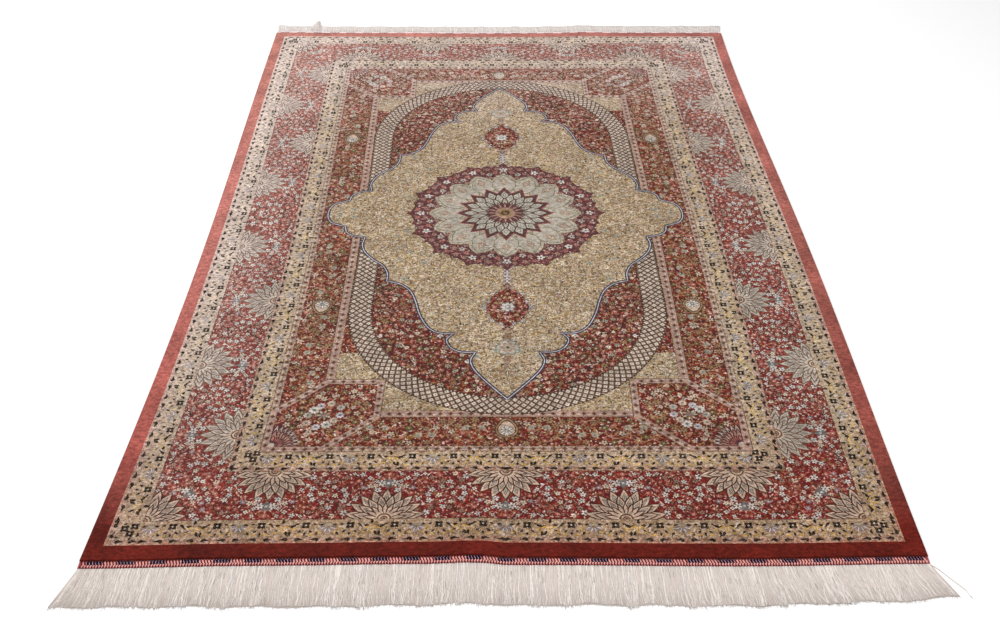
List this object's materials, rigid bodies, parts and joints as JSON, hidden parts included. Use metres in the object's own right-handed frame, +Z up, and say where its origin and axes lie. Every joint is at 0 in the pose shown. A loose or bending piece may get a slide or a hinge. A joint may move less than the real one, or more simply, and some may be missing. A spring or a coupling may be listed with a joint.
{
  "type": "persian rug",
  "caption": "Rectangular knotted pile rug with a medallion design, twined bands and a cut fringe at both ends, lying flat.",
  "frame": {"origin": "middle of the pile carpet, on its flat underside", "axes": "+X along the rug's ends, to the right in the picture; +Y along its sides, away from the near end, which has the longer fringe; +Z up from the floor"},
  "size_m": [1.4078, 2.2706, 0.005],
  "materials": {
    "silk_pile": "knotted silk pile, clipped low, brick red and beige gold, with a soft sheen",
    "twined_band": "twined yarn in navy and pink with a row of red stitches",
    "warp_fringe": "loose undyed warp ends, off-white and matt"
  },
  "bodies": {
    "root": {"carpet": "silk_pile", "end_band_near": "twined_band", "end_band_far": "twined_band", "fringe_near": "warp_fringe", "fringe_far": "warp_fringe"}
  },
  "joints": []
}
